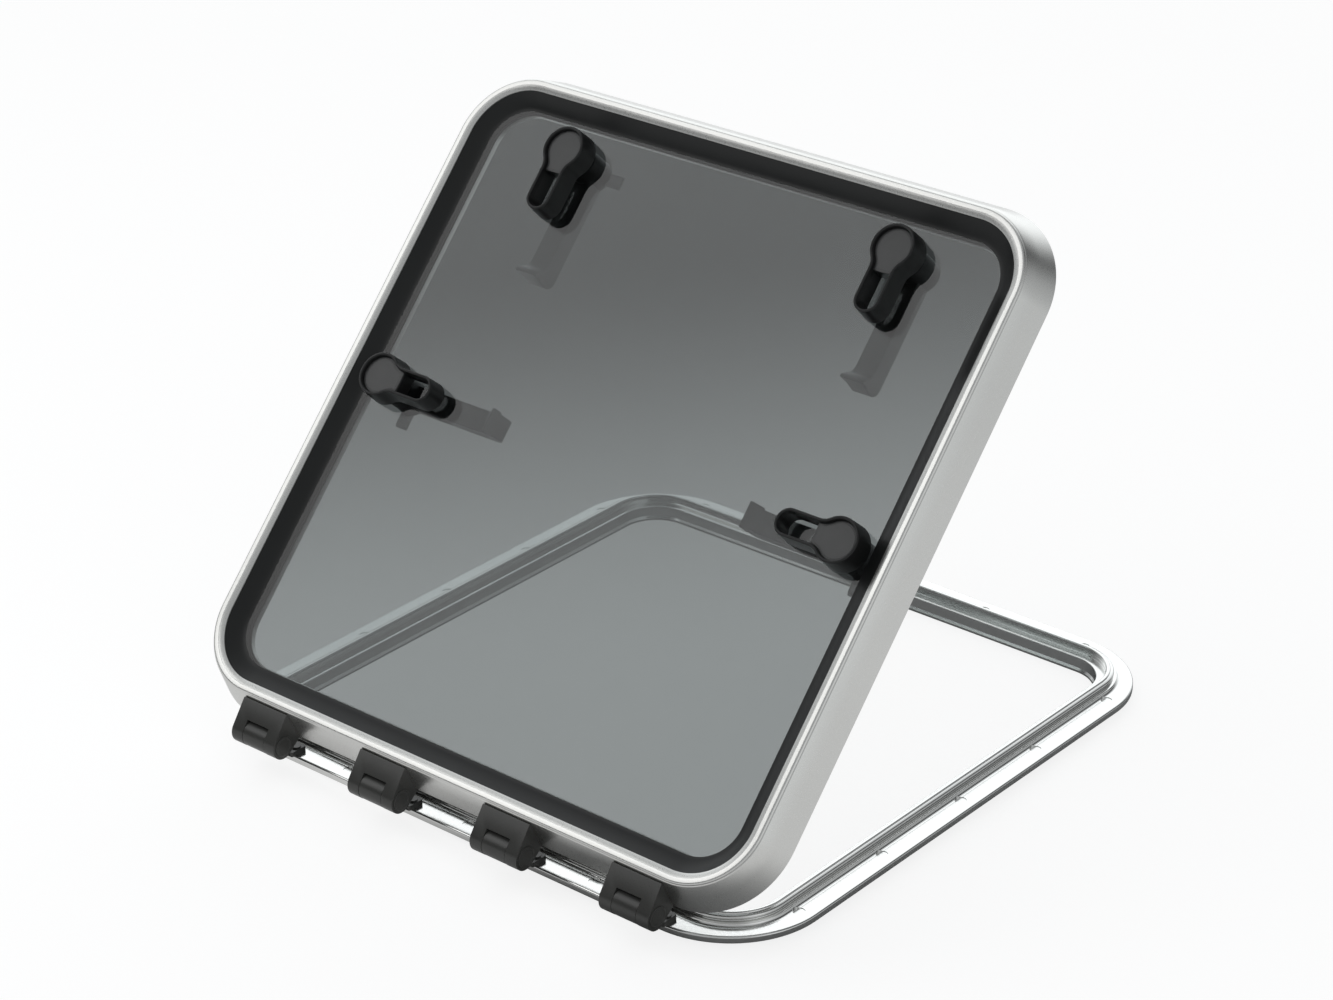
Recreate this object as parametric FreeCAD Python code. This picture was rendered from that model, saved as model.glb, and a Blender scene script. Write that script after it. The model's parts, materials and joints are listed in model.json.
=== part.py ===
import FreeCAD, Part
import math
import os

# Square deck escape hatch with a hinged glazed lid, four friction hinges and four two-sided handles.
# Millimetres. X runs along the hinge edge, Y from the hinge edge to the free edge, Z is up.
# The origin is the centre of the deck opening, on the deck face under the base flange.
# Everything on the lid is drawn with the lid shut and then turned about the hinge axis.

V = FreeCAD.Vector
X_AXIS = V(1, 0, 0)
Z_AXIS = V(0, 0, 1)

# Lid opening at rest, measured from shut
OPEN_ANGLE = 47.5

# Base frame: flange on the deck, upstand ridge with an inner ledge, and a spigot into the deck cut-out.
# The clear opening drives the plan: what lies round it is set off from it.
OPENING_HALF = 262.7
OPENING_CORNER = 36.7
LEDGE_WIDTH = 8.6
RIDGE_WIDTH = 3.7
RIM_COVE = 8.8
RIM_BULGE = 3.2
RIDGE_BEAD = 0.4
FLANGE_WIDTH = 25.0
FLANGE_CORNER = 87.0
FLANGE_THICK = 6.2
FLANGE_BEVEL = 1.4
GROOVE_RISE = 3.6
LEDGE_RISE = 1.8
LEDGE_BEVEL = 1.2
RIDGE_RISE = 9.8
LIP_WIDTH = 1.8
LIP_DROP = 2.0
SPIGOT_DEPTH = 6.0
SPIGOT_WALL = 10.3
DECK_HOLE_EDGE = 13.6
DECK_HOLE_END = 82.8
DECK_HOLE_COUNT = 5
DECK_HOLE_BORE = 5.5
DECK_HOLE_HEAD = 10.4

# Lid in plan: pane, bezel and skirt, each set off from the one before
PANE_LAP = 5.0
PANE_EDGE_GAP = 2.8
PANE_BEARING = 14.0
SEAL_LAP = 12.8
BED_INSET = 2.2
BEZEL_WIDTH = 10.0
SKIRT_FLARE = 13.2
LID_CORNER = 61.8

# Lid in height, from the ridge of the base up
GASKET_CLEAR = 0.3
GASKET_HEIGHT = 4.1
GASKET_WIDTH = 10.0
GASKET_SHOULDER = 2.6
CHANNEL_LEG = 2.0
CHANNEL_DEPTH = 2.2
WEB_THICK = 3.0
BED_THICK = 1.5
PANE_THICK = 10.0
BEZEL_STEP = 11.7
BEZEL_THICK = 3.6
SEAL_STEP = 0.9
SEAL_DIP = 0.9
LIP_ROUND = 2.4
WALL = 3.0
INNER_LEG = 3.0
SKIRT_CLEAR = 8.0

# Hinges
HINGE_COUNT = 4
HINGE_END = 89.7
AXIS_OUT = 13.8
AXIS_UP = 13.3
HINGE_WIDTH = 50.0
BARREL_RADIUS = 11.7
KNUCKLE_WIDTH = 24.4
KNUCKLE_GAP = 0.3
KNUCKLE_STEP = 0.2
NOTCH_FRONT_GAP = 0.8
ARM_CLEAR = 0.6
ARM_HEEL = 3.0
ARM_LOW_ANGLE = -107.0
ARM_HIGH_ANGLE = -32.0
LEAF_TOP_BELOW_LIP = 3.6
LEAF_PROUD = 1.4
LEAF_EDGE_ROUND = 1.2
PIN_RADIUS = 3.5
RUNNING_GAP = 0.05
BUSH_WALL = 1.95
CAP_RADIUS = 9.2
CAP_THICK = 1.4
CAP_SEAT = 0.6
CAP_BEVEL = 0.4
FOOT_THICK = 4.4
FOOT_WIDTH = 34.0
FOOT_DEPTH = 13.5
FOOT_CORNER = 1.5
LEAF_SCREW_SPACING = 32.0
LEAF_SCREW_RADIUS = 2.0
LEAF_SCREW_HEAD = 4.0
LEAF_SCREW_HEAD_THICK = 2.4
LEAF_SCREW_GRIP = 7.0
FOOT_SCREW_SPACING = 24.0
FOOT_SCREW_RADIUS = 1.9
FOOT_SCREW_HEAD = 3.9
FOOT_SCREW_FLOOR = 0.6

# Handles: one lever on each face of the pane, on a common spindle
FREE_HANDLE_END = 89.2
FREE_HANDLE_INSET = 24.7
SIDE_HANDLE_INSET = 18.4
PANE_GAP = 0.3
HEAD_RADIUS = 19.8
TAIL_HALF = 12.0
TAIL_LENGTH = 59.3
NECK_RADIUS = 14.0
OUTER_HEIGHT = 20.7
OUTER_DRAFT = 1.1
OUTER_LIP = 0.8
RIM_THICK = 2.9
RECESS_DEPTH = 4.0
SLOT_START = 22.5
CAP_PLATE = 2.0
SCREW_POCKET_RADIUS = 5.6
SPINDLE_RADIUS = 6.0
SQUARE_HALF = 4.2
SQUARE_SHORT = 0.5
BUSH_BODY_RADIUS = 8.0
BUSH_FLANGE_RADIUS = 12.0
BUSH_FLANGE_THICK = 2.0
SEAL_RING_RADIUS = 13.0
SEAL_RING_THICK = 1.2
SEAL_RING_BORE = 9.0
HANDLE_SCREW_RADIUS = 2.0
HANDLE_SCREW_LENGTH = 12.0
HANDLE_SCREW_HEAD = 4.4
HANDLE_SCREW_HEAD_THICK = 3.0
SCREW_HEAD_ROOM = 1.0
INNER_HUB_RADIUS = 15.0
INNER_ARM_HALF = 10.0
INNER_ARM_LENGTH = 110.0
INNER_ARM_DROP = 16.0
INNER_HEEL = 9.0
INNER_TIP_RISE = 12.6
INNER_TIP_LENGTH = 17.0
INNER_TIP_FLARE = 1.6
INNER_WALL = 3.0
INNER_POCKET_START = 20.0
INNER_POCKET_CORNER = 4.0
CATCH_HOLD = 3.5
CATCH_HALF = 6.0
CATCH_THICK = 3.7
CATCH_RAMP = 1.6
CATCH_CLEAR = 0.4
GUSSET_RISE = 9.0
GUSSET_HALF = 2.0

# Places that follow from the sizes above: distances from the centre in plan, then heights
RIM_INNER = OPENING_HALF + LEDGE_WIDTH
RIM_OUTER = RIM_INNER + RIDGE_WIDTH
RIM_FOOT = RIM_OUTER + RIM_COVE
FLANGE_HALF = RIM_OUTER + FLANGE_WIDTH
RIM_CORNER_CENTRE = OPENING_HALF - OPENING_CORNER
LIP_HALF = OPENING_HALF - LIP_WIDTH
SPIGOT_HALF = OPENING_HALF + SPIGOT_WALL
DECK_HOLE_LINE = FLANGE_HALF - DECK_HOLE_EDGE
DECK_HOLE_PITCH = 2 * (FLANGE_HALF - DECK_HOLE_END) / (DECK_HOLE_COUNT - 1)
PANE_HALF = RIM_OUTER + PANE_LAP
BEZEL_INNER = PANE_HALF + PANE_EDGE_GAP
SEAL_INNER = PANE_HALF - SEAL_LAP
WEB_INNER = PANE_HALF - PANE_BEARING
BED_INNER = WEB_INNER + BED_INSET
LID_FRONT_HALF = BEZEL_INNER + BEZEL_WIDTH
LID_BACK_HALF = LID_FRONT_HALF + SKIRT_FLARE
LID_CORNER_CENTRE = LID_FRONT_HALF - LID_CORNER
GASKET_INNER = (RIM_INNER + RIM_OUTER - GASKET_WIDTH) / 2
GASKET_OUTER = GASKET_INNER + GASKET_WIDTH
HINGE_PITCH = 2 * (LID_FRONT_HALF - HINGE_END) / (HINGE_COUNT - 1)
HINGE_X = [(i - (HINGE_COUNT - 1) / 2) * HINGE_PITCH for i in range(HINGE_COUNT)]
FOOT_INNER = FLANGE_HALF - FOOT_DEPTH
FREE_HANDLE_X = OPENING_HALF - FREE_HANDLE_END
FREE_HANDLE_Y = OPENING_HALF - FREE_HANDLE_INSET
SIDE_HANDLE_X = OPENING_HALF - SIDE_HANDLE_INSET
CATCH_REACH = FREE_HANDLE_INSET + CATCH_HOLD

RIDGE_TOP = FLANGE_THICK + RIDGE_RISE
GROOVE_HEIGHT = FLANGE_THICK + GROOVE_RISE
LEDGE_HEIGHT = FLANGE_THICK + LEDGE_RISE
LID_BOTTOM = FLANGE_THICK + SKIRT_CLEAR
WEB_UNDER = RIDGE_TOP + GASKET_CLEAR + GASKET_HEIGHT
LEDGE_TOP = WEB_UNDER + WEB_THICK
PANE_UNDER = LEDGE_TOP + BED_THICK
PANE_TOP = PANE_UNDER + PANE_THICK
LID_TOP = PANE_TOP + BEZEL_STEP
WALL_SLOPE = SKIRT_FLARE / (LID_TOP - LID_BOTTOM)
AXIS_Y = -LID_BACK_HALF - AXIS_OUT
AXIS_Z = LID_BOTTOM + AXIS_UP
GRIP_TOP = PANE_TOP + OUTER_HEIGHT
CATCH_TOP = -SPIGOT_DEPTH - CATCH_CLEAR
INNER_LOW = CATCH_TOP - CATCH_THICK
ARM_TOP = PANE_UNDER - INNER_ARM_DROP
HUB_TOP = PANE_UNDER - BUSH_FLANGE_THICK - PANE_GAP
SCREW_SEAT = GRIP_TOP - RECESS_DEPTH - CAP_PLATE - SCREW_HEAD_ROOM - HANDLE_SCREW_HEAD_THICK
SPINDLE_TOP = SCREW_SEAT - SQUARE_SHORT
SPINDLE_LOW = ARM_TOP + SCREW_HEAD_ROOM

# Name, place in plan, turn about the spindle, and the side that the catch is on
HANDLES = [
    ("free_left", -FREE_HANDLE_X, FREE_HANDLE_Y, 0, 1),
    ("free_right", FREE_HANDLE_X, FREE_HANDLE_Y, 0, -1),
    ("side_left", -SIDE_HANDLE_X, 0, 90, -1),
    ("side_right", SIDE_HANDLE_X, 0, -90, 1),
]


def wall_at(z):
    """Half width of the lid's outer face at height z."""
    return LID_BACK_HALF - WALL_SLOPE * (z - LID_BOTTOM)


def wire_of(steps, place):
    """Closed wire from points; a step of two points is an arc through the first to the second."""
    edges = []
    first = place(*steps[0])
    here = first
    for step in steps[1:] + [steps[0]]:
        if isinstance(step[0], tuple):
            through = place(*step[0])
            to = place(*step[1])
            edges.append(Part.Arc(here, through, to).toShape())
        else:
            to = place(*step)
            if here.distanceToPoint(to) < 1e-6:
                continue
            edges.append(Part.LineSegment(here, to).toShape())
        here = to
    return Part.Wire(edges)


def section(steps):
    """Face in the plane y = 0 from (distance from the centre, height) steps."""
    return Part.Face(wire_of(steps, lambda r, z: V(r, 0, z)))


def ring(steps, centre):
    """Square ring with round corners: the section runs along four sides and turns round four corners."""
    face = section(steps)
    start = face.copy()
    start.translate(V(0, -centre, 0))
    side = start.extrude(V(0, 2 * centre, 0))
    turn = face.copy()
    turn.translate(V(0, centre, 0))
    corner = turn.revolve(V(centre, centre, 0), Z_AXIS, 90)
    pieces = []
    for quarter in range(4):
        for piece in (side, corner):
            copy = piece.copy()
            copy.rotate(V(0, 0, 0), Z_AXIS, 90 * quarter)
            pieces.append(copy)
    return pieces[0].multiFuse(pieces[1:]).removeSplitter()


def plate(half, radius, z0, z1):
    """Square plate with round corners."""
    c = half - radius
    k = c + radius * math.sqrt(0.5)
    steps = [(half, -c), (half, c), ((k, k), (c, half)), (-c, half), ((-k, k), (-half, c)),
             (-half, -c), ((-k, -k), (-c, -half)), (c, -half), ((k, -k), (half, -c))]
    return Part.Face(wire_of(steps, lambda x, y: V(x, y, z0))).extrude(V(0, 0, z1 - z0))


def rod(radius, x, y, z0, z1):
    return Part.makeCylinder(radius, z1 - z0, V(x, y, z0))


def block(x0, x1, y0, y1, z0, z1):
    return Part.makeBox(x1 - x0, y1 - y0, z1 - z0, V(x0, y0, z0))


def along_x(steps, x0, x1):
    """Prism along X from (y, z) steps measured from the hinge axis."""
    wire = wire_of(steps, lambda y, z: V(x0, AXIS_Y + y, AXIS_Z + z))
    return Part.Face(wire).extrude(V(x1 - x0, 0, 0))


def barrel(radius, x0, x1):
    return Part.makeCylinder(radius, x1 - x0, V(x0, AXIS_Y, AXIS_Z), X_AXIS)


def edges_along_z(shape):
    """Upright edges of a block."""
    ends = [[v.Point for v in edge.Vertexes] for edge in shape.Edges]
    return [edge for edge, (a, b) in zip(shape.Edges, ends) if a.sub(b).cross(Z_AXIS).Length < 1e-6]


# Base frame: an extruded section bent round the corners and welded, then drilled
def base_frame():
    bulge = RIM_OUTER + RIM_BULGE
    bevel = RIDGE_WIDTH / 4
    shoulder = RIDGE_TOP - RIDGE_WIDTH / 2
    cove = ((RIM_FOOT + 2 * bulge) / 3, (2 * FLANGE_THICK + GROOVE_HEIGHT) / 3)
    rim = ring([
        (SPIGOT_HALF, 0.0), (RIM_FOOT, 0.0), (RIM_FOOT, FLANGE_THICK),
        cove, (bulge, GROOVE_HEIGHT), (bulge - RIM_BULGE / 3, GROOVE_HEIGHT + RIDGE_BEAD),
        (RIM_OUTER + RIM_BULGE / 2, (GROOVE_HEIGHT + 2 * shoulder) / 3), (RIM_OUTER, shoulder),
        (RIM_OUTER - bevel, RIDGE_TOP), (RIM_INNER + bevel, RIDGE_TOP), (RIM_INNER, shoulder),
        (RIM_INNER, LEDGE_HEIGHT), (OPENING_HALF + LEDGE_BEVEL, LEDGE_HEIGHT),
        (OPENING_HALF, LEDGE_HEIGHT - LEDGE_BEVEL),
        (OPENING_HALF, -LIP_DROP), (LIP_HALF, -LIP_DROP - LIP_WIDTH),
        (LIP_HALF, -SPIGOT_DEPTH), (SPIGOT_HALF, -SPIGOT_DEPTH),
    ], RIM_CORNER_CENTRE)
    overlap = (SPIGOT_HALF + RIM_FOOT) / 2
    flange = ring([
        (overlap, 0.0), (FLANGE_HALF, 0.0), (FLANGE_HALF, FLANGE_THICK - FLANGE_BEVEL),
        (FLANGE_HALF - FLANGE_BEVEL, FLANGE_THICK), (overlap, FLANGE_THICK),
    ], FLANGE_HALF - FLANGE_CORNER)
    clear = plate(SPIGOT_HALF, SPIGOT_HALF - RIM_CORNER_CENTRE, -FLANGE_THICK, 2 * FLANGE_THICK)
    frame = rim.fuse(flange.cut(clear)).removeSplitter()
    tools = []
    for x, y in deck_holes():
        bore = DECK_HOLE_BORE / 2
        sink = DECK_HOLE_HEAD / 2 - bore
        tools.append(rod(bore, x, y, -FLANGE_THICK, FLANGE_THICK))
        cone = Part.makeCone(bore, bore + 2 * sink, 2 * sink, V(x, y, FLANGE_THICK - sink))
        tools.append(cone)
    for x, y in foot_screws():
        tools.append(rod(FOOT_SCREW_RADIUS, x, y, FOOT_SCREW_FLOOR, 2 * FLANGE_THICK))
    return frame.cut(Part.makeCompound(tools))


def deck_holes():
    """Deck screw places: a row on each free side, and a row between the hinges."""
    holes = []
    for i in range(DECK_HOLE_COUNT):
        along = (i - (DECK_HOLE_COUNT - 1) / 2) * DECK_HOLE_PITCH
        holes.append((DECK_HOLE_LINE, along))
        holes.append((-DECK_HOLE_LINE, along))
        holes.append((along, DECK_HOLE_LINE))
    for left, right in zip(HINGE_X, HINGE_X[1:]):
        holes.append(((left + right) / 2, -DECK_HOLE_LINE))
    return holes


def foot_screws():
    line = -(FOOT_INNER + FLANGE_HALF) / 2
    return [(x + side * FOOT_SCREW_SPACING / 2, line) for x in HINGE_X for side in (-1, 1)]


# Lid frame: bezel, sloped skirt, and an inner leg that carries the pane ledge and the gasket channel
def lid_frame():
    wall = WALL / math.cos(math.atan(WALL_SLOPE))
    shoulder = LID_TOP - LIP_ROUND
    leg_out = BEZEL_INNER + INNER_LEG
    low = WEB_UNDER - CHANNEL_DEPTH
    under = LID_TOP - BEZEL_THICK
    edge = wall_at(shoulder)
    frame = ring([
        (LID_BACK_HALF - wall, LID_BOTTOM), (LID_BACK_HALF, LID_BOTTOM), (edge, shoulder),
        ((edge - 0.25 * LIP_ROUND, LID_TOP - 0.3 * LIP_ROUND), (edge - 0.9 * LIP_ROUND, LID_TOP)),
        (BEZEL_INNER, LID_TOP),
        (BEZEL_INNER, LEDGE_TOP), (WEB_INNER, LEDGE_TOP), (WEB_INNER, low),
        (GASKET_INNER, low), (GASKET_INNER, WEB_UNDER), (GASKET_OUTER, WEB_UNDER), (GASKET_OUTER, low),
        (GASKET_OUTER + CHANNEL_LEG, low), (GASKET_OUTER + CHANNEL_LEG, WEB_UNDER), (leg_out, WEB_UNDER),
        (leg_out, under), (wall_at(under) - wall, under),
    ], LID_CORNER_CENTRE)
    holes = [leaf_screw_hole(x, LEAF_SCREW_RADIUS + RUNNING_GAP) for x in leaf_screw_places()]
    return frame.cut(Part.makeCompound(holes))


def leaf_screw_places():
    return [x + side * LEAF_SCREW_SPACING / 2 for x in HINGE_X for side in (-1, 1)]


def on_skirt(shape, x):
    """Set a piece that stands along Z square on the sloped skirt of the hinge side."""
    z = (LEDGE_TOP + PANE_TOP) / 2
    shape.rotate(V(0, 0, 0), X_AXIS, 90 - math.degrees(math.atan(WALL_SLOPE)))
    shape.translate(V(x, -wall_at(z), z))
    return shape


def leaf_screw_hole(x, radius):
    return on_skirt(rod(radius, 0, 0, -2 * WALL, LEAF_SCREW_GRIP), x)


def leaf_screw(x):
    """Screw from inside the skirt into a lid leaf."""
    shank = rod(LEAF_SCREW_RADIUS, 0, 0, -WALL, LEAF_SCREW_GRIP)
    head = rod(LEAF_SCREW_HEAD, 0, 0, -WALL - LEAF_SCREW_HEAD_THICK, -WALL)
    return on_skirt(shank.fuse(head), x)


def pane():
    glass = plate(PANE_HALF, PANE_HALF - LID_CORNER_CENTRE, PANE_UNDER, PANE_TOP)
    holes = [rod(BUSH_BODY_RADIUS, x, y, PANE_UNDER - 1, PANE_TOP + 1) for _, x, y, _, _ in HANDLES]
    return glass.cut(Part.makeCompound(holes))


def pane_seal():
    """Black bedding under and round the pane, tooled to a hollow slope on top."""
    top = LID_TOP - SEAL_STEP
    mid = ((BEZEL_INNER + SEAL_INNER) / 2 - SEAL_DIP, (top + PANE_TOP) / 2 - SEAL_DIP)
    return ring([
        (BED_INNER, LEDGE_TOP), (BEZEL_INNER, LEDGE_TOP), (BEZEL_INNER, top),
        mid, (SEAL_INNER, PANE_TOP), (PANE_HALF, PANE_TOP), (PANE_HALF, PANE_UNDER), (BED_INNER, PANE_UNDER),
    ], LID_CORNER_CENTRE)


def lid_gasket():
    """Rubber compression gasket in the channel above the ridge of the base."""
    low = RIDGE_TOP + GASKET_CLEAR
    shoulder = WEB_UNDER - CHANNEL_DEPTH
    return ring([
        (GASKET_INNER, WEB_UNDER), (GASKET_INNER, shoulder), (GASKET_INNER + GASKET_SHOULDER, low),
        (GASKET_OUTER - GASKET_SHOULDER, low), (GASKET_OUTER, shoulder), (GASKET_OUTER, WEB_UNDER),
    ], LID_CORNER_CENTRE)


# Hinges
def lid_leaf(x):
    """Moulded wedge on the skirt that wraps the barrel in two knuckles, with a notch between them."""
    half = HINGE_WIDTH / 2
    top = LID_TOP - LEAF_TOP_BELOW_LIP - AXIS_Z
    wall_top = -wall_at(top + AXIS_Z) - AXIS_Y
    reach = wall_top - LEAF_PROUD
    slope = math.atan2(top - LEAF_EDGE_ROUND - BARREL_RADIUS, reach)
    tangent = (-BARREL_RADIUS * math.sin(slope), BARREL_RADIUS * math.cos(slope))
    shoulder = top - 2 * LEAF_EDGE_ROUND
    body = along_x([
        (0.0, 0.0), tangent, (reach - LEAF_EDGE_ROUND, top - LEAF_EDGE_ROUND / 2),
        (reach, shoulder + LEAF_EDGE_ROUND),
        (-wall_at(shoulder + AXIS_Z) - AXIS_Y, shoulder), (AXIS_OUT, -AXIS_UP), (0.0, -BARREL_RADIUS),
    ], x - half, x + half)
    body = body.fuse(barrel(BARREL_RADIUS, x - half, x + half)).removeSplitter()
    gap = KNUCKLE_WIDTH / 2 + KNUCKLE_GAP
    notch_back = AXIS_OUT - NOTCH_FRONT_GAP
    notch = block(x - gap, x + gap, AXIS_Y - 2 * BARREL_RADIUS, AXIS_Y + notch_back,
                  AXIS_Z - 2 * BARREL_RADIUS, AXIS_Z + 2 * BARREL_RADIUS)
    body = body.cut(notch)
    tools = [barrel(PIN_RADIUS, x - half, x + half)]
    for side in (-1, 1):
        end = x + side * half
        seat = end - side * CAP_SEAT
        tools.append(barrel(CAP_RADIUS, min(end, seat), max(end, seat)))
    places = [place for place in leaf_screw_places() if abs(place - x) < half]
    tools += [leaf_screw_hole(place, LEAF_SCREW_RADIUS) for place in places]
    return body.cut(Part.makeCompound(tools))


def base_leaf(x):
    """Single knuckle on an arm that reaches under the skirt to a foot on the flange."""
    half = KNUCKLE_WIDTH / 2
    radius = BARREL_RADIUS - KNUCKLE_STEP
    foot_low = FLANGE_THICK - AXIS_Z
    foot_top = foot_low + FOOT_THICK
    edge = -FLANGE_HALF - AXIS_Y
    inner = edge + FOOT_DEPTH
    heel = edge - ARM_HEEL
    clear = AXIS_OUT - NOTCH_FRONT_GAP - ARM_CLEAR
    low = math.radians(ARM_LOW_ANGLE)
    high = math.radians(ARM_HIGH_ANGLE)
    arm = along_x([
        (0.0, 0.0), (radius * math.cos(low), radius * math.sin(low)), (heel, foot_low), (inner, foot_low),
        (inner, foot_top), (edge - FOOT_THICK, foot_top), (clear, -AXIS_UP),
        (radius * math.cos(high), radius * math.sin(high)),
    ], x - half, x + half)
    foot = block(x - FOOT_WIDTH / 2, x + FOOT_WIDTH / 2, AXIS_Y + heel, -FOOT_INNER,
                 FLANGE_THICK, FLANGE_THICK + FOOT_THICK)
    foot = foot.makeFillet(FOOT_CORNER, edges_along_z(foot))
    leaf = arm.fuse([foot, barrel(radius, x - half, x + half)]).removeSplitter()
    top = FLANGE_THICK + FOOT_THICK
    sink = FOOT_SCREW_HEAD - FOOT_SCREW_RADIUS
    tools = [barrel(PIN_RADIUS + RUNNING_GAP + BUSH_WALL, x - half, x + half)]
    for sx, sy in foot_screws():
        if abs(sx - x) < FOOT_WIDTH / 2:
            tools.append(rod(FOOT_SCREW_RADIUS, sx, sy, FLANGE_THICK, top))
            tools.append(Part.makeCone(FOOT_SCREW_RADIUS, FOOT_SCREW_HEAD, sink, V(sx, sy, top - sink)))
    return leaf.cut(Part.makeCompound(tools))


def foot_screw(x, y):
    top = FLANGE_THICK + FOOT_THICK
    sink = FOOT_SCREW_HEAD - FOOT_SCREW_RADIUS
    head = Part.makeCone(FOOT_SCREW_RADIUS, FOOT_SCREW_HEAD, sink, V(x, y, top - sink))
    return rod(FOOT_SCREW_RADIUS, x, y, FOOT_SCREW_FLOOR, top - sink).fuse(head)


def hinge_pin(x):
    half = HINGE_WIDTH / 2 - CAP_SEAT
    return barrel(PIN_RADIUS, x - half, x + half)


def friction_bush(x):
    half = KNUCKLE_WIDTH / 2
    bore = PIN_RADIUS + RUNNING_GAP
    return barrel(bore + BUSH_WALL, x - half, x + half).cut(barrel(bore, x - half, x + half))


def end_cap(x, side):
    """Disc with a bevelled rim that closes one end of a barrel."""
    seat = x + side * (HINGE_WIDTH / 2 - CAP_SEAT)
    way = V(side, 0, 0)
    straight = CAP_THICK - CAP_BEVEL
    disc = Part.makeCylinder(CAP_RADIUS, straight, V(seat, AXIS_Y, AXIS_Z), way)
    face = V(seat + side * straight, AXIS_Y, AXIS_Z)
    rim = Part.makeCone(CAP_RADIUS, CAP_RADIUS - CAP_BEVEL, CAP_BEVEL, face, way)
    return disc.fuse(rim).removeSplitter()


# Handles, drawn about their own spindle at the origin with the tail along -Y
def keyhole(head, tail, neck, length, z):
    """Outline of a round head with a straight round-ended tail, blended by two hollow neck arcs."""
    drop = math.sqrt((head + neck) ** 2 - (tail + neck) ** 2)
    share = head / (head + neck)
    hx = (tail + neck) * share
    hy = -drop * share
    bend = math.atan2(-drop - hy, tail - hx)
    turn = (math.atan2(hy + drop, hx - tail - neck) + math.pi) / 2
    nx = tail + neck + neck * math.cos(turn)
    ny = -drop + neck * math.sin(turn)
    end = length - tail
    steps = [(tail, -drop), (tail, -end), ((0.0, -length), (-tail, -end)), (-tail, -drop),
             ((-nx, ny), (-hx, hy)), ((0.0, head), (hx, hy)), ((nx, ny), (tail, -drop))]
    return wire_of(steps, lambda x, y: V(x, y, z))


def keyhole_solid(grow0, grow1, z0, z1):
    wires = [keyhole(HEAD_RADIUS + g, TAIL_HALF + g, NECK_RADIUS - g, TAIL_LENGTH + g, z)
             for g, z in ((grow0, z0), (grow1, z1))]
    return Part.makeLoft(wires, True, True)


def outer_handle():
    """Keyhole grip with a drafted wall and a bevelled lip, sunk for its cap and slotted through the tail."""
    base = PANE_TOP + PANE_GAP
    ledge = GRIP_TOP - OUTER_LIP
    body = keyhole_solid(OUTER_DRAFT, 0.0, base, ledge)
    body = body.fuse(keyhole_solid(0.0, -OUTER_LIP, ledge, GRIP_TOP))
    floor = GRIP_TOP - RECESS_DEPTH - CAP_PLATE
    inside = TAIL_HALF - RIM_THICK
    slot_end = TAIL_LENGTH - TAIL_HALF
    slot = block(-inside, inside, -slot_end, -SLOT_START, base, GRIP_TOP)
    slot = slot.fuse(rod(inside, 0, -slot_end, base, GRIP_TOP))
    socket = block(-SQUARE_HALF, SQUARE_HALF, -SQUARE_HALF, SQUARE_HALF, base, SPINDLE_TOP)
    tools = [
        keyhole_solid(-RIM_THICK, -RIM_THICK, floor, GRIP_TOP), slot, socket,
        rod(SCREW_POCKET_RADIUS, 0, 0, SCREW_SEAT, floor),
        rod(HANDLE_SCREW_RADIUS, 0, 0, base, floor),
        rod(SEAL_RING_RADIUS + PANE_GAP, 0, 0, base, PANE_TOP + SEAL_RING_THICK + PANE_GAP),
    ]
    return body.cut(Part.makeCompound(tools)).removeSplitter()


def handle_cap():
    """Bare cap: it fills the sunk head and ends square before the tail slot."""
    top = GRIP_TOP - RECESS_DEPTH
    solid = keyhole_solid(-RIM_THICK, -RIM_THICK, top - CAP_PLATE, top)
    return solid.common(block(-TAIL_LENGTH, TAIL_LENGTH, -SLOT_START, TAIL_LENGTH, top - CAP_PLATE, top))


def spindle():
    """Turned shaft with a square at each end and a tapped hole through both."""
    shaft = rod(SPINDLE_RADIUS, 0, 0, HUB_TOP, PANE_TOP + SEAL_RING_THICK)
    square = block(-SQUARE_HALF, SQUARE_HALF, -SQUARE_HALF, SQUARE_HALF, SPINDLE_LOW, SPINDLE_TOP)
    return shaft.fuse(square).cut(rod(HANDLE_SCREW_RADIUS, 0, 0, SPINDLE_LOW, SPINDLE_TOP))


def pane_bush():
    """Flanged bush that lines the hole in the pane."""
    body = rod(BUSH_BODY_RADIUS, 0, 0, PANE_UNDER, PANE_TOP)
    flange = rod(BUSH_FLANGE_RADIUS, 0, 0, PANE_UNDER - BUSH_FLANGE_THICK, PANE_UNDER)
    bore = rod(SPINDLE_RADIUS + RUNNING_GAP, 0, 0, PANE_UNDER - BUSH_FLANGE_THICK, PANE_TOP)
    return body.fuse(flange).cut(bore)


def seal_ring():
    top = PANE_TOP + SEAL_RING_THICK
    return rod(SEAL_RING_RADIUS, 0, 0, PANE_TOP, top).cut(rod(SEAL_RING_BORE, 0, 0, PANE_TOP, top))


def handle_screw(seat, way):
    """Cap screw with its head on the seat and its shank the other way; way is +1 for a head on top."""
    end = seat - way * HANDLE_SCREW_LENGTH
    head_end = seat + way * HANDLE_SCREW_HEAD_THICK
    shank = rod(HANDLE_SCREW_RADIUS, 0, 0, min(seat, end), max(seat, end))
    return shank.fuse(rod(HANDLE_SCREW_HEAD, 0, 0, min(seat, head_end), max(seat, head_end)))


def handle_screws():
    outer = handle_screw(SCREW_SEAT, 1)
    inner = handle_screw(SPINDLE_LOW - SQUARE_SHORT, -1)
    return Part.makeCompound([outer, inner])


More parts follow.
